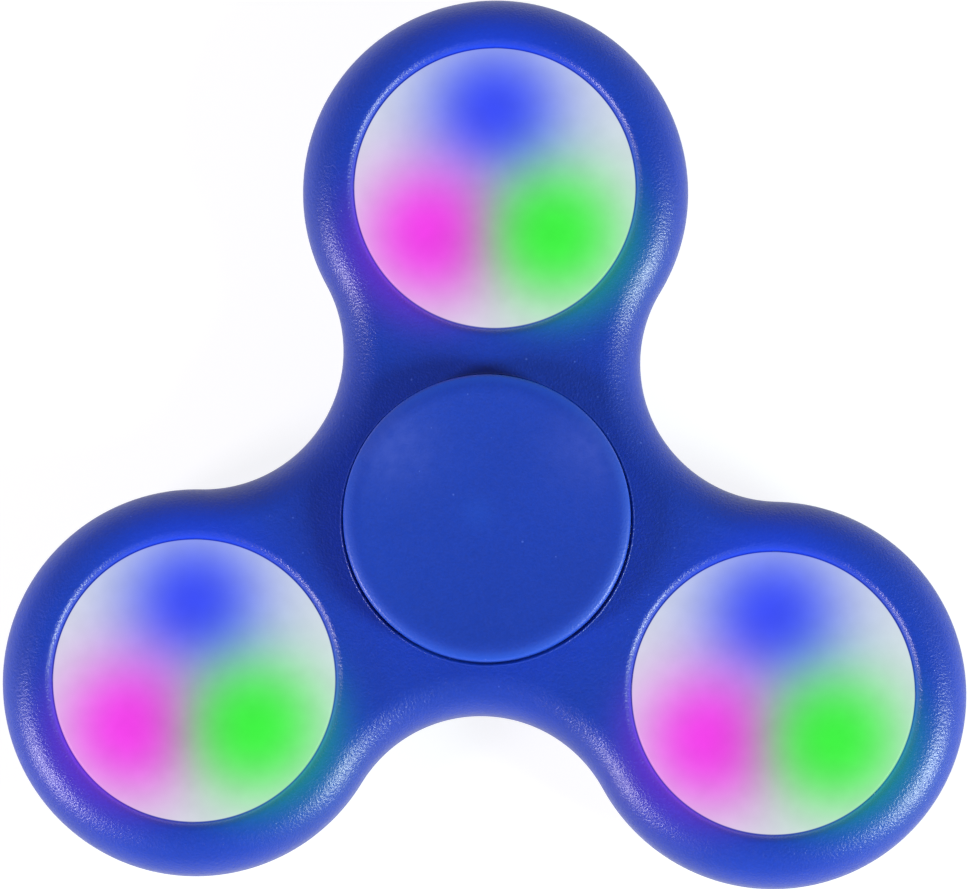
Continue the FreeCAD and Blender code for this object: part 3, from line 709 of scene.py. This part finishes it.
class Nodes:
    """Builds one node material. Every texture uses object coordinates, which are the frame's own and
    in metres."""

    def __init__(self, name):
        self.material = bpy.data.materials.new(name)
        self.material.use_nodes = True
        self.tree = self.material.node_tree
        self.shader = self.tree.nodes["Principled BSDF"]
        self.place = self.add("ShaderNodeTexCoord").outputs["Object"]

    def add(self, kind, **settings):
        node = self.tree.nodes.new(kind)
        for key, value in settings.items():
            setattr(node, key, value)
        return node

    def link(self, value, socket):
        """Sets a socket to a number or colour, or links it."""
        if isinstance(value, bpy.types.NodeSocket):
            self.tree.links.new(value, socket)
        elif socket.type == "RGBA":
            socket.default_value = (*value, 1.0)
        else:
            socket.default_value = value

    def math(self, operation, a, b=0.0, clamp=False):
        node = self.add("ShaderNodeMath", operation=operation, use_clamp=clamp)
        self.link(a, node.inputs[0])
        self.link(b, node.inputs[1])
        return node.outputs[0]

    def vector(self, operation, a, b=(0, 0, 0)):
        node = self.add("ShaderNodeVectorMath", operation=operation)
        self.link(a, node.inputs[0])
        self.link(b, node.inputs[1])
        return node.outputs["Value" if operation == "LENGTH" else "Vector"]

    def across(self, centre):
        """How far the surface point is from the upright line through a place given in millimetres."""
        way = self.vector("SUBTRACT", self.place, tuple(centre * MM))
        return self.vector("LENGTH", self.vector("MULTIPLY", way, (1, 1, 0)))

    def falloff(self, centre, size, power):
        """exp(-(distance / size) ^ power) from the upright line through centre."""
        ratio = self.math("MULTIPLY", self.across(centre), 1 / (size * MM))
        return self.math("EXPONENT", self.math("MULTIPLY", self.math("POWER", ratio, power), -1.0))

    def noise(self, size_mm, detail=2.0, roughness=0.5):
        """Noise from 0 to 1 whose features are about size_mm wide."""
        node = self.add("ShaderNodeTexNoise")
        self.link(self.place, node.inputs["Vector"])
        node.inputs["Scale"].default_value = 1 / (size_mm * MM)
        node.inputs["Detail"].default_value = detail
        node.inputs["Roughness"].default_value = roughness
        return node.outputs["Fac"]

    def patches(self, size_mm, low=0.0, high=1.0, detail=3.0, edge=0.2):
        """Noise spread over the range from low to high; a smaller edge makes the patches crisper."""
        return self.span(self.noise(size_mm, detail=detail), 0.5 - edge, 0.5 + edge, low, high)

    def around(self, number, amount, size_mm, detail=3.0):
        """A number that varies up and down by amount, in patches about size_mm wide."""
        return self.patches(size_mm, number - amount, number + amount, detail=detail)

    def specks(self, apart_mm, radius_mm, share):
        """1 inside small round dots: one dot in each cell of a scatter, in that share of the cells."""
        node = self.add("ShaderNodeTexVoronoi")
        self.link(self.place, node.inputs["Vector"])
        node.inputs["Scale"].default_value = 1 / (apart_mm * MM)
        pick = self.add("ShaderNodeSeparateXYZ")
        self.link(node.outputs["Color"], pick.inputs[0])
        size = self.math("MULTIPLY", pick.outputs["Y"], radius_mm / apart_mm)
        inside = self.math("LESS_THAN", node.outputs["Distance"], size)
        return self.math("MULTIPLY", inside, self.math("LESS_THAN", pick.outputs["X"], share))

    def span(self, value, low, high, to_low=0.0, to_high=1.0, smooth=False):
        """Maps the range from low to high onto the range from to_low to to_high, and no further."""
        node = self.add("ShaderNodeMapRange", clamp=True)
        node.interpolation_type = "SMOOTHSTEP" if smooth else "LINEAR"
        self.link(value, node.inputs["Value"])
        self.link(low, node.inputs["From Min"])
        self.link(high, node.inputs["From Max"])
        self.link(to_low, node.inputs["To Min"])
        self.link(to_high, node.inputs["To Max"])
        return node.outputs["Result"]

    def mix(self, factor, a, b, blend="MIX"):
        node = self.add("ShaderNodeMix", data_type="RGBA", blend_type=blend)
        self.link(factor, node.inputs[0])
        self.link(a, node.inputs[MIX_A])
        self.link(b, node.inputs[MIX_B])
        return node.outputs[MIX_RESULT]

    def plus(self, total, factor, colour):
        """Adds a share of a colour to a running total."""
        return self.mix(1.0, total, self.mix(factor, BLACK, colour), blend="ADD")

    def bump(self, height, strength, distance_mm):
        node = self.add("ShaderNodeBump")
        self.link(height, node.inputs["Height"])
        node.inputs["Strength"].default_value = strength
        node.inputs["Distance"].default_value = distance_mm * MM
        self.link(node.outputs["Normal"], self.shader.inputs["Normal"])
        self.link(node.outputs["Normal"], self.shader.inputs["Coat Normal"])

    def set(self, **sockets):
        """Sets or links the shader's sockets; _ in a name stands for a space."""
        for name, value in sockets.items():
            self.link(value, self.shader.inputs[name.replace("_", " ")])


def tinted(colour, amount):
    return tuple(channel * amount for channel in colour)


# The LEDs' glow in the frosted lens: place from the lamp's centre, width, power, strength and display
# colour.
GLOWS = {
    "blue": (Vector((-0.2, 6.1, 0)), 5.6, 2.1, 1.0, (0.2, 0.285, 0.985)),
    "pink": (Vector((-4.8, -3.7, 0)), 5.5, 2.15, 0.83, (1.0, 0.07, 0.94)),
    "green": (Vector((4.7, -3.5, 0)), 5.3, 2.27, 0.755, (0.014, 1.0, 0.0)),
}
DISPLAY_GAMMA = 2.2
LENS_BASE = (0.848, 0.882, 0.913)

# How brightly it glows deep in its wall and at its face, and the heights between which that changes.
LENS_DEEP_LIT = 0.25
LENS_LIT = 0.95
LENS_LIT_FROM = LENS_EDGE - 1.0
LENS_LIT_TO = LENS_EDGE - 0.1

# The glow's slight clouds, the plastic's own colour, and the blue glow painted at its very edge for the
# lit blue wall of the well.
LENS_CLOUD_SIZE = 1.6
LENS_CLOUD = 0.03
LENS_ALBEDO = (0.02, 0.021, 0.024)
LENS_RIM_PAINTED_GLOW = (0.012, 0.035, 0.30)
LENS_RIM_GLOW_WIDE = 0.05
LENS_RIM_GLOW_SHARE = 0.88


def lens_material(n):
    """Milky plastic lit from behind by three LEDs, whose colours blend over its own grey-white glow.
    Its very edge has a painted blue glow that stands for the blue of the well round it, lit by the
    lens."""
    nodes = Nodes(f"frosted_lens_{n}")
    colour = LENS_BASE
    for centre, size, power, strength, tint in GLOWS.values():
        part = nodes.math("MULTIPLY", nodes.falloff(LAMP_SPOTS[n] + centre, size, power), strength)
        colour = nodes.mix(part, colour, tint)
    gamma = nodes.add("ShaderNodeGamma")
    nodes.link(colour, gamma.inputs["Color"])
    gamma.inputs["Gamma"].default_value = DISPLAY_GAMMA
    cloud = nodes.around(1, LENS_CLOUD, LENS_CLOUD_SIZE)
    split = nodes.add("ShaderNodeSeparateXYZ")
    nodes.link(nodes.place, split.inputs[0])
    lit = nodes.span(split.outputs["Z"], LENS_LIT_FROM * MM, LENS_LIT_TO * MM, LENS_DEEP_LIT, LENS_LIT)
    glow = nodes.mix(1.0, gamma.outputs["Color"], nodes.math("MULTIPLY", cloud, lit), blend="MULTIPLY")
    # Painted glow: the lens's very edge glows blue, standing for the lit blue wall of the well.
    rim_painted_glow = nodes.span(nodes.across(LAMP_SPOTS[n]), (LENS_RAD - LENS_RIM_GLOW_WIDE) * MM, LENS_RAD * MM,
                     0.0, LENS_RIM_GLOW_SHARE)
    nodes.set(Base_Color=nodes.mix(nodes.noise(0.4), tinted(LENS_ALBEDO, 0.96), LENS_ALBEDO),
              Roughness=0.38, Specular_IOR_Level=0.3,
              Emission_Color=nodes.mix(rim_painted_glow, glow, LENS_RIM_PAINTED_GLOW), Emission_Strength=1.0)
    nodes.bump(nodes.noise(0.12, detail=3), strength=0.25, distance_mm=0.01)
    return nodes.material


BLUE = (0.004, 0.0485, 0.53)
CAP_BLUE = (0.003, 0.052, 0.56)
COAT_ROUGH = 0.24

# How far the colour varies in slow mottles and fine flecks, and the roughness in patches.
MOTTLE_SIZE = 5.0
MOTTLE = 0.04
FLECK_SIZE = 0.2
FLECK = 0.07
WEAR_SIZE = 0.5
WEAR = 0.04

# The skin of the mould: fine pits over a slower unevenness.
GRAIN_FINE = 0.19
GRAIN_SLOW = 1.6
GRAIN_SLOW_SHARE = 0.25
GRAIN_DEEP = 0.06

# Specks: how far apart, how large, how many of their places are filled, and their colour.
DUST_APART = 0.9
DUST_RAD = 0.085
DUST_SHARE = 0.35
DUST = (0.06, 0.14, 0.75)

# The cap's thin edge with its painted glow, a faint paler spot near the middle, and the patches of
# painted sheen, whose places have a size and a strength.
RIM_BLUE = (0.008, 0.09, 0.74)
RIM_GLOW_FADE = (10.2, 11.1)
PALE_SPOT = Vector((-0.7, 0.4, 0))
PALE_SPOT_SIZE = 1.3
PALE_SPOT_SHARE = 0.35
SHEEN_PATCH_SIZE = 0.9
SHEEN_PATCH_LOW = 0.65
SHEEN_PATCH_HIGH = 1.2
PAINTED_SHEEN = (0.032, 0.085, 0.625)
PAINTED_SHEEN_SPOTS = ((Vector((-7.5, 5.4, 0)), 3.3, 0.9), (Vector((7.8, 5.5, 0)), 2.9, 0.75))

# The lamps' light in the blue plastic, painted in as glow and as base colours tinted towards the LEDs:
# round each LED, at the very edge of the well, and over the whole lobe.
SPILL_SIZE = 6.6
SPILL_POWER = 4.0
SPILLS = {"pink": (0.14, 0.0, 0.22), "green": (0.0, 0.29, 0.02), "blue": (0.0, 0.0, 0.26)}
PAINTED_SPILL_BASES = {"pink": (0.008, 0.012, 0.50), "green": (0.002, 0.055, 0.19), "blue": BLUE}
EDGE_REACH = 0.35
EDGE_SPILL = (0.0, 0.005, 0.11)
LOBE_OUT = 1.15
LOBE_REACH = 15.5
LOBE_POWER = 8.0
LOBE_SPILL = (0.0, 0.004, 0.055)


def blue_plastic(name, colour, roughness, gloss, coat, grain):
    """Moulded blue plastic: mottled and finely flecked, with a pitted skin. Returns its nodes and its
    colour, for body_plastic and cap_plastic to build on."""
    nodes = Nodes(name)
    base = nodes.mix(nodes.patches(MOTTLE_SIZE), tinted(colour, 1 - MOTTLE), tinted(colour, 1 + MOTTLE))
    fleck = nodes.mix(nodes.patches(FLECK_SIZE, detail=2), (1 - FLECK,) * 3, (1 + FLECK,) * 3)
    base = nodes.mix(1.0, base, fleck, blend="MULTIPLY")
    nodes.set(Roughness=nodes.around(roughness, WEAR, WEAR_SIZE),
              Specular_IOR_Level=gloss, Coat_Weight=coat, Coat_Roughness=COAT_ROUGH)
    slow = nodes.math("MULTIPLY", nodes.noise(GRAIN_SLOW, detail=1), GRAIN_SLOW_SHARE)
    pits = nodes.math("ADD", nodes.noise(GRAIN_FINE, detail=2, roughness=0.6), slow)
    nodes.bump(pits, grain, GRAIN_DEEP)
    return nodes, base


def dusted(nodes, base):
    """A colour with faint pale specks on it."""
    return nodes.mix(nodes.specks(DUST_APART, DUST_RAD, DUST_SHARE), base, DUST)


def body_plastic():
    """The body's plastic, with the light that the lamps throw on it and send through it painted in as
    glow and tinted base colour.
    """
    nodes, base = blue_plastic("body_blue", BLUE, roughness=0.40, gloss=0.5, coat=0.6, grain=0.85)
    base = dusted(nodes, base)
    total = BLACK
    for n in LAMPS:
        for name, light in SPILLS.items():
            # Painted light round each LED: glow, and base colour tinted towards the LED's colour.
            reach = nodes.falloff(LAMP_SPOTS[n] + GLOWS[name][0], SPILL_SIZE, SPILL_POWER)
            base = nodes.mix(reach, base, PAINTED_SPILL_BASES[name])
            total = nodes.plus(total, reach, light)
        # Painted glow at the very edge of each well.
        edge = nodes.span(nodes.across(LAMP_SPOTS[n]), WELL_RAD * MM, (WELL_RAD + EDGE_REACH) * MM,
                          1.0, 0.0, smooth=True)
        total = nodes.plus(total, edge, EDGE_SPILL)
        # Painted glow over the whole lobe, fading towards the middle.
        lobe = nodes.falloff(LAMP_SPOTS[n] * LOBE_OUT, LOBE_REACH, LOBE_POWER)
        total = nodes.plus(total, lobe, LOBE_SPILL)
    nodes.set(Base_Color=base, Emission_Color=total, Emission_Strength=1.0)
    return nodes.material


def cap_plastic():
    """The finger caps' plastic, with a paler rim painted for the light that passes through the thin
    edge, a faint paler spot near the middle, and two patches of painted sheen on the dish."""
    nodes, base = blue_plastic("cap_blue", CAP_BLUE, roughness=0.50, gloss=0.55, coat=0.35, grain=0.4)
    # Painted glow: a paler rim for the light that passes through the thin edge.
    start, end = RIM_GLOW_FADE
    rim_painted_glow = nodes.span(nodes.across(AXIS), start * MM, end * MM, smooth=True)
    base = nodes.mix(rim_painted_glow, base, RIM_BLUE)
    # A faint paler spot near the middle, in the rim's paler blue.
    pale_spot = nodes.math("MULTIPLY", nodes.falloff(PALE_SPOT, PALE_SPOT_SIZE, 2.0), PALE_SPOT_SHARE)
    base = nodes.mix(pale_spot, base, RIM_BLUE)
    # Painted sheen: two mottled paler patches on the dish that stand for a soft reflection of the
    # lights.
    sheen_patches = nodes.patches(SHEEN_PATCH_SIZE, SHEEN_PATCH_LOW, SHEEN_PATCH_HIGH, edge=0.15)
    for centre, size, strength in PAINTED_SHEEN_SPOTS:
        sheen_reach = nodes.math("MULTIPLY", nodes.falloff(centre, size, 2.0), strength)
        base = nodes.mix(nodes.math("MULTIPLY", sheen_reach, sheen_patches, clamp=True), base, PAINTED_SHEEN)
    nodes.set(Base_Color=dusted(nodes, base))
    return nodes.material


def milky_plastic(name, colour, roughness):
    """White plastic that lets a little light into its surface."""
    nodes = Nodes(name)
    nodes.set(Base_Color=nodes.mix(nodes.patches(3.0), tinted(colour, 0.93), colour),
              Roughness=nodes.around(roughness, 0.05, size_mm=0.6, detail=2),
              Specular_IOR_Level=0.5, Subsurface_Weight=0.2,
              Subsurface_Radius=(0.8, 0.9, 1.0), Subsurface_Scale=0.6 * MM)
    nodes.bump(nodes.noise(0.14, detail=3), strength=0.3, distance_mm=0.01)
    return nodes.material


def metal(name, colour, roughness, size_mm=0.3):
    """Metal whose brightness and roughness vary a little over marks about size_mm wide."""
    nodes = Nodes(name)
    wear = nodes.noise(size_mm, detail=4)
    nodes.set(Base_Color=nodes.mix(wear, tinted(colour, 0.85), colour), Metallic=1.0,
              Roughness=nodes.span(wear, 0.3, 0.7, roughness * 0.8, roughness * 1.2))
    nodes.bump(wear, strength=0.15, distance_mm=0.004)
    return nodes.material


def solid_plastic(name, colour, roughness, size_mm=0.4, other=None, glow=None):
    """Resin in patches of two colours. other is the second, or else a darker shade of the first, and
    glow is the colour of its light."""
    nodes = Nodes(name)
    patch = nodes.patches(size_mm, edge=0.15)
    nodes.set(Base_Color=nodes.mix(patch, colour, other or tinted(colour, 0.8)), Roughness=roughness)
    if glow:
        nodes.set(Emission_Color=nodes.mix(patch, glow, tinted(glow, 0.9)), Emission_Strength=1.0)
    nodes.bump(patch, strength=0.2, distance_mm=0.01)
    return nodes.material


def paint(piece, material):
    """Gives a piece, or a CAD node's object, one material in all its slots."""
    slots = piece.data.materials
    if len(slots):
        for i in range(len(slots)):
            slots[i] = material
    else:
        slots.append(material)


def dress():
    """Builds every piece and gives each piece, and each CAD node that isn't replaced, its material."""
    body_blue = body_plastic()
    cap_blue = cap_plastic()
    cover_white = milky_plastic("cover_white", (0.74, 0.76, 0.80), roughness=0.42)
    button_white = milky_plastic("button_white", (0.86, 0.87, 0.88), roughness=0.25)
    stamped = metal("stamped_steel", (0.60, 0.61, 0.63), roughness=0.32)
    paint(build_body(), body_blue)
    paint(build_cap("cap_front", "top_finger_cap", FRONT, SOCKET), cap_blue)
    paint(build_cap("cap_back", "bottom_finger_cap", BACK, PIN), cap_blue)
    for n in LAMPS:
        paint(build_lens(n), lens_material(n))
        paint(build_cover(n), cover_white)
        paint(build_button(n), button_white)
        paint(build_dome(n), stamped)
    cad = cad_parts
    ground = metal("ground_steel", (0.70, 0.71, 0.73), roughness=0.18, size_mm=0.2)
    balls = [f"bearing_ball_{k + 1}" for k in range(BALLS)]
    for node in ["bearing_outer_ring", "bearing_inner_ring"] + balls:
        paint(cad[node], ground)
    for node in ("bearing_shield_top", "bearing_shield_bottom", "cage_upper_half", "cage_lower_half",
                 "cage_rivets"):
        paint(cad[node], stamped)
    board = solid_plastic("board_green", (0.02, 0.16, 0.05), roughness=0.35, size_mm=0.8,
                          other=(0.03, 0.22, 0.07))
    cell_steel = metal("cell_steel", (0.72, 0.72, 0.70), roughness=0.28)
    inside = {
        "circuit_board": board,
        "blue_led": solid_plastic("led_blue", (0.5, 0.55, 0.9), roughness=0.3, glow=(0.1, 0.15, 1.0)),
        "pink_led": solid_plastic("led_pink", (0.9, 0.5, 0.85), roughness=0.3, glow=(1.0, 0.12, 0.85)),
        "green_led": solid_plastic("led_green", (0.5, 0.9, 0.5), roughness=0.3, glow=(0.1, 1.0, 0.12)),
        "cell_contacts": metal("contact_metal", (0.80, 0.68, 0.40), roughness=0.25),
        "driver_chip": solid_plastic("chip_resin", (0.015, 0.015, 0.017), roughness=0.2),
        "switch_case": solid_plastic("switch_black", (0.02, 0.02, 0.022), roughness=0.45),
        "cell_1": cell_steel,
        "cell_2": cell_steel,
        "cell_3": cell_steel,
    }
    for n in LAMPS:
        for piece, material in inside.items():
            paint(cad[f"lamp_{n}_{piece}"], material)


dress()


# Studio -------------------------------------------------------------------------------------------

FLOOR_HALF = 3.0
FLOOR_WHITE = 0.3
FLOOR_CLOUD_MM = 20.0
FLOOR_GLOW = 0.45
FLOOR_SEEN = 0.86
FADE_NEAR = 0.06
FADE_FAR = 0.30
SKY_HIGH = 0.12
SKY_LOW = 0.55
LIGHT_AWAY = 0.7
LIGHT_UP = 28


def area_light(name, azimuth, width, height, power, colour):
    """A soft box aimed at the spinner; azimuth 0 is +X, turning towards +Y."""
    data = bpy.data.lights.new(name, "AREA")
    data.shape = "RECTANGLE"
    data.size = width
    data.size_y = height
    data.energy = power
    data.color = colour
    lamp = bpy.data.objects.new(name, data)
    bpy.context.scene.collection.objects.link(lamp)
    flat = heading(azimuth) * math.cos(math.radians(LIGHT_UP))
    way = Vector((flat.x, flat.y, math.sin(math.radians(LIGHT_UP))))
    lamp.location = Vector((0, 0, MID)) * MM + way * LIGHT_AWAY
    lamp.rotation_mode = "QUATERNION"
    lamp.rotation_quaternion = (-way).to_track_quat("-Z", "Y")


def make_floor():
    """A pale floor. The camera sees it nearly white, and pure white away from the spinner, and it
    throws less light than that onto the spinner."""
    mesh = bpy.data.meshes.new("floor")
    corners = [(x * FLOOR_HALF, y * FLOOR_HALF, 0) for x, y in ((-1, -1), (1, -1), (1, 1), (-1, 1))]
    mesh.from_pydata(corners, [], [(0, 1, 2, 3)])
    floor = bpy.data.objects.new("floor", mesh)
    bpy.context.scene.collection.objects.link(floor)
    nodes = Nodes("pale_floor")
    pale = nodes.mix(nodes.noise(FLOOR_CLOUD_MM), (FLOOR_WHITE,) * 3, (FLOOR_WHITE * 0.98,) * 3)
    camera_ray = nodes.add("ShaderNodeLightPath").outputs["Is Camera Ray"]
    away = nodes.vector("LENGTH", nodes.place)
    seen = nodes.span(away, FADE_NEAR, FADE_FAR, FLOOR_SEEN, 1.0, smooth=True)
    nodes.set(Base_Color=pale, Roughness=0.9, Specular_IOR_Level=0.1, Emission_Color=(1.0, 1.0, 1.0),
              Emission_Strength=nodes.span(camera_ray, 0.0, 1.0, FLOOR_GLOW, seen))
    mesh.materials.append(nodes.material)


def make_sky():
    """A dim sky, brighter at the horizon. The camera sees it as white."""
    world = bpy.data.worlds.new("studio")
    bpy.context.scene.world = world
    world.use_nodes = True
    nodes, links = world.node_tree.nodes, world.node_tree.links
    nodes.clear()
    seen = nodes.new("ShaderNodeBackground")
    seen.inputs["Color"].default_value = (1.0, 1.0, 1.0, 1.0)
    lighting = nodes.new("ShaderNodeBackground")
    up = nodes.new("ShaderNodeSeparateXYZ")
    links.new(nodes.new("ShaderNodeTexCoord").outputs["Generated"], up.inputs[0])
    fade = nodes.new("ShaderNodeMapRange")
    for key, number in (("From Min", 0), ("From Max", 1), ("To Min", SKY_LOW), ("To Max", SKY_HIGH)):
        fade.inputs[key].default_value = number
    links.new(up.outputs["Z"], fade.inputs["Value"])
    links.new(fade.outputs["Result"], lighting.inputs["Strength"])
    choose = nodes.new("ShaderNodeMixShader")
    links.new(nodes.new("ShaderNodeLightPath").outputs["Is Camera Ray"], choose.inputs[0])
    links.new(lighting.outputs[0], choose.inputs[1])
    links.new(seen.outputs[0], choose.inputs[2])
    links.new(choose.outputs[0], nodes.new("ShaderNodeOutputWorld").inputs[0])


make_floor()
make_sky()
area_light("key_right", azimuth=-25, width=0.17, height=0.30, power=4.3, colour=(0.86, 1.0, 0.88))
area_light("key_left", azimuth=207, width=0.135, height=0.26, power=2.8, colour=(1.0, 0.92, 1.0))
bpy.context.scene.view_settings.view_transform = "Standard"
bpy.context.scene.view_settings.look = "None"
